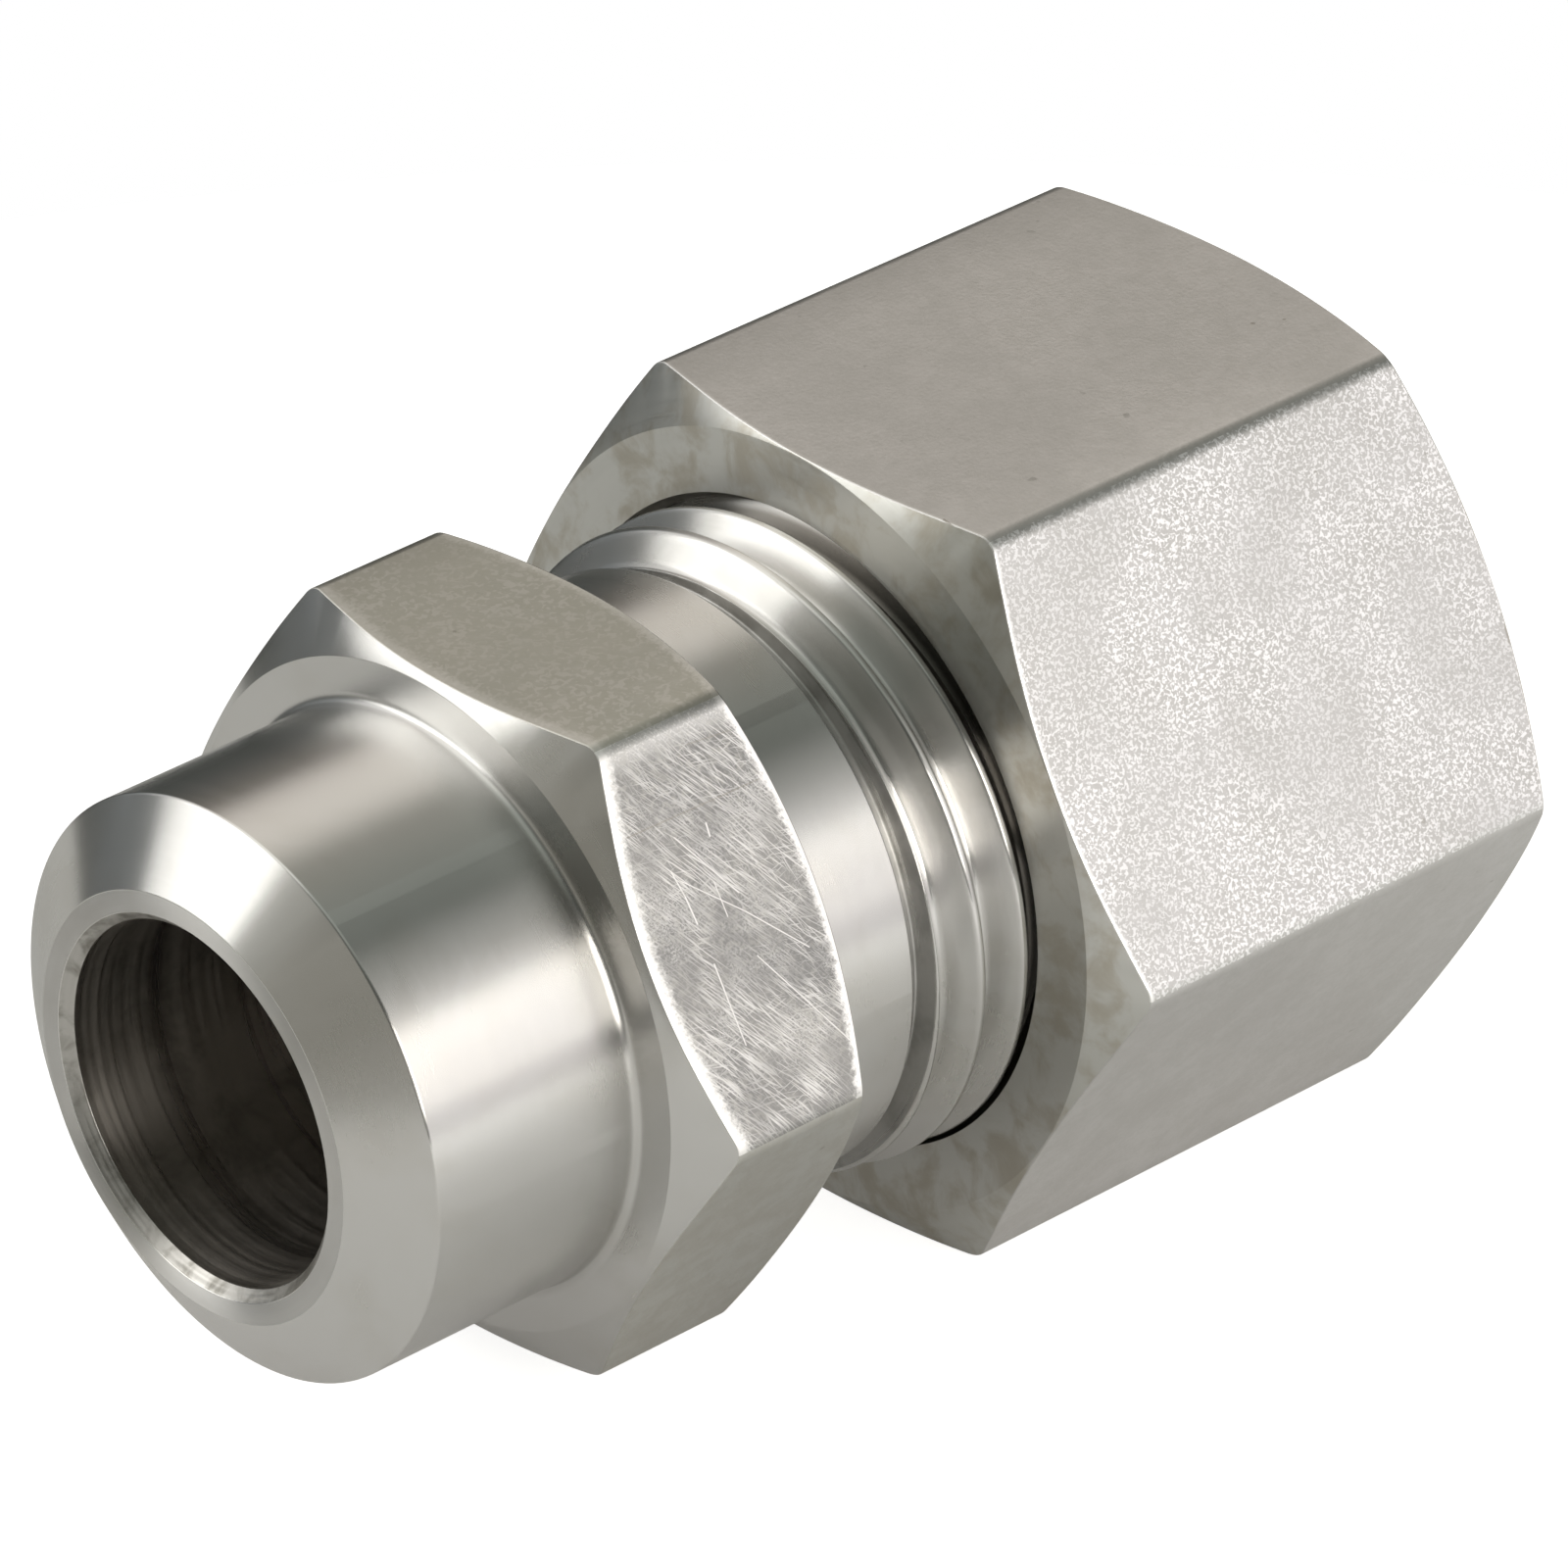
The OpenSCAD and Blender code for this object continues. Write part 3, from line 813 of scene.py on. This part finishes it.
viewPoint = {  # fitted to outlines and edges in the photo, mm
    "place": (-156.369, -192.934, 161.416),
    "look": (0.57570, 0.62928, -0.52208),
    "right": (0.73966, -0.67296, 0.004475),
    "lens": 270.02,
}
look = Vector(viewPoint["look"]).normalized()
right = Vector(viewPoint["right"])
right = (right - look * right.dot(look)).normalized()
up = right.cross(look)
camData = bpy.data.cameras.new("photo_camera")
camData.lens = viewPoint["lens"]
camData.sensor_width = 36
camData.clip_start = 0.01
camData.clip_end = 20
camera = bpy.data.objects.new("photo_camera", camData)
turn = Matrix((right, up, -look)).transposed().to_4x4()
camera.matrix_world = Matrix.Translation(Vector(viewPoint["place"]) * mm) @ turn
bpy.context.scene.collection.objects.link(camera)
bpy.context.scene.camera = camera
print("camera set")


# studio: a white sheet under the part, softboxes to the right, to the left and behind, and grey surroundings

studio = {
    "sheetCentre": (-0.0024, -0.0305),
    "sheetRadius": 0.0947,
    "sheetColour": 0.8,
    "cameraLift": 0.75,
    # painted light: in reflections the sheet glows more toward the right softbox, for that softbox's light on the floor
    "sheetPaintedGlow": {"azimuth": -54, "from": 0.0122, "to": 0.0794, "level": 0.45},
    "surround": (0.058, 0.062, 0.056),
    "glows": [
        {"name": "overhead", "azimuth": 0, "height": 90, "inner": 10, "outer": 50, "level": (0.37, 0.393, 0.36)},
        {"name": "left", "azimuth": 165, "height": -5, "inner": 10, "outer": 50, "level": (0.365, 0.349, 0.31)},
        {"name": "right", "azimuth": -54, "height": 0, "inner": 10, "outer": 45, "level": (0.96, 0.92, 0.92)},
        {"name": "right_high", "azimuth": -54, "height": 35, "inner": 5, "outer": 25, "level": (0.545, 0.541, 0.515)},
        {"name": "back_high", "azimuth": 43, "height": 40, "inner": 4, "outer": 20, "level": (0.75, 0.71, 0.66)},
        {"name": "back_wide", "azimuth": 43, "height": 45, "inner": 15, "outer": 40, "level": (0.09, 0.066, 0.05)},
        {"name": "left_high", "azimuth": 110, "height": 50, "inner": 10, "outer": 45, "level": (1.03, 0.99, 0.95)},
        {"name": "left_back", "azimuth": 100, "height": 15, "inner": 8, "outer": 30, "level": (0.214, 0.226, 0.24)},
        {"name": "left_edge", "azimuth": 157, "height": 20, "inner": 3, "outer": 14, "level": (0.2, 0.21, 0.21)},
    ],
    "softboxes": [
        {"name": "front_softbox", "azimuth": -96, "height": 20, "away": 0.214, "wide": 40, "tall": 30,
         "level": (4.6, 4.42, 4.15)},
        {"name": "left_softbox", "azimuth": 138, "height": 24, "away": 0.306, "wide": 34, "tall": 34,
         "level": (1.89, 1.877, 1.83)},
    ],
}


def direction(azimuth, height):
    a, h = math.radians(azimuth), math.radians(height)
    return Vector((math.cos(a) * math.cos(h), math.sin(a) * math.cos(h), math.sin(h)))


mat = newMaterial("white_sheet")
nodes, links = mat.node_tree.nodes, mat.node_tree.links
out = nodes.new("ShaderNodeOutputMaterial")
diffuse = nodes.new("ShaderNodeBsdfDiffuse")
diffuse.inputs["Color"].default_value = (studio["sheetColour"],) * 3 + (1,)
lift = nodes.new("ShaderNodeEmission")
path = nodes.new("ShaderNodeLightPath")
t = Nodes(mat.node_tree)
place, x, y, z, r = objectPlace(t)
# painted light: glossy rays see the sheet glowing brighter with distance toward the right softbox
shine = studio["sheetPaintedGlow"]
facing = math.radians(shine["azimuth"])
toward = t.math("ADD", t.math("MULTIPLY", x, math.cos(facing)), t.math("MULTIPLY", y, math.sin(facing)))
brighter = t.spread(toward, shine["from"], shine["to"], 0.0, shine["level"])
seen = t.math("MULTIPLY", path.outputs["Is Camera Ray"], studio["cameraLift"])
strength = t.math("ADD", seen, t.math("MULTIPLY", path.outputs["Is Glossy Ray"], brighter))
links.new(strength, lift.inputs["Strength"])
add = nodes.new("ShaderNodeAddShader")
links.new(diffuse.outputs[0], add.inputs[0])
links.new(lift.outputs[0], add.inputs[1])
links.new(add.outputs[0], out.inputs[0])
sheetZ = nutLow[2] * mm
centreX, centreY = studio["sheetCentre"]
reach = studio["sheetRadius"]
rim = [(centreX + reach * math.cos(a), centreY + reach * math.sin(a), sheetZ)
       for a in np.linspace(0, 2 * math.pi, 128, endpoint=False)]
sheetMesh = bpy.data.meshes.new("white_sheet")
sheetMesh.from_pydata(rim, [], [tuple(range(len(rim)))])
sheetMesh.materials.append(mat)
sheet = bpy.data.objects.new("white_sheet", sheetMesh)
bpy.context.scene.collection.objects.link(sheet)

world = bpy.data.worlds.new("studio")
bpy.context.scene.world = world
world.use_nodes = True
tree = world.node_tree
tree.nodes.clear()
t = Nodes(tree)
coord = tree.nodes.new("ShaderNodeTexCoord")
light = t.vector(*studio["surround"])
light.node.name = "surround"
for glow in studio["glows"]:
    dot = tree.nodes.new("ShaderNodeVectorMath")
    dot.operation = "DOT_PRODUCT"
    tree.links.new(coord.outputs["Generated"], dot.inputs[0])
    dot.inputs[1].default_value = direction(glow["azimuth"], glow["height"])
    near = t.spread(dot.outputs["Value"], math.cos(math.radians(glow["outer"])), math.cos(math.radians(glow["inner"])))
    tint = tree.nodes.new("ShaderNodeVectorMath")
    tint.operation = "SCALE"
    tint.name = glow["name"]
    tint.inputs[0].default_value = glow["level"]
    tree.links.new(near, tint.inputs["Scale"])
    total = tree.nodes.new("ShaderNodeVectorMath")
    tree.links.new(light, total.inputs[0])
    tree.links.new(tint.outputs[0], total.inputs[1])
    light = total.outputs[0]
path = tree.nodes.new("ShaderNodeLightPath")
background = tree.nodes.new("ShaderNodeBackground")
tree.links.new(t.mix(path.outputs["Is Camera Ray"], light, (1.0, 1.0, 1.0)), background.inputs["Color"])
out = tree.nodes.new("ShaderNodeOutputWorld")
tree.links.new(background.outputs[0], out.inputs[0])

middle = Vector((0.018, 0, 0))  # what the softboxes aim at
for box in studio["softboxes"]:
    data = bpy.data.lights.new(box["name"], "AREA")
    data.shape = "RECTANGLE"
    data.size = 2 * box["away"] * math.tan(math.radians(box["wide"] / 2))
    data.size_y = 2 * box["away"] * math.tan(math.radians(box["tall"] / 2))
    data.color = [v / max(box["level"]) for v in box["level"]]
    data.energy = max(box["level"]) * math.pi * data.size * data.size_y
    lamp = bpy.data.objects.new(box["name"], data)
    aim = direction(box["azimuth"], box["height"])
    lamp.location = middle + aim * box["away"]
    lamp.rotation_euler = (-aim).to_track_quat("-Z", "Y").to_euler()
    lamp.visible_camera = False
    bpy.context.scene.collection.objects.link(lamp)
print("studio set")

bpy.context.scene.view_settings.view_transform = "Standard"
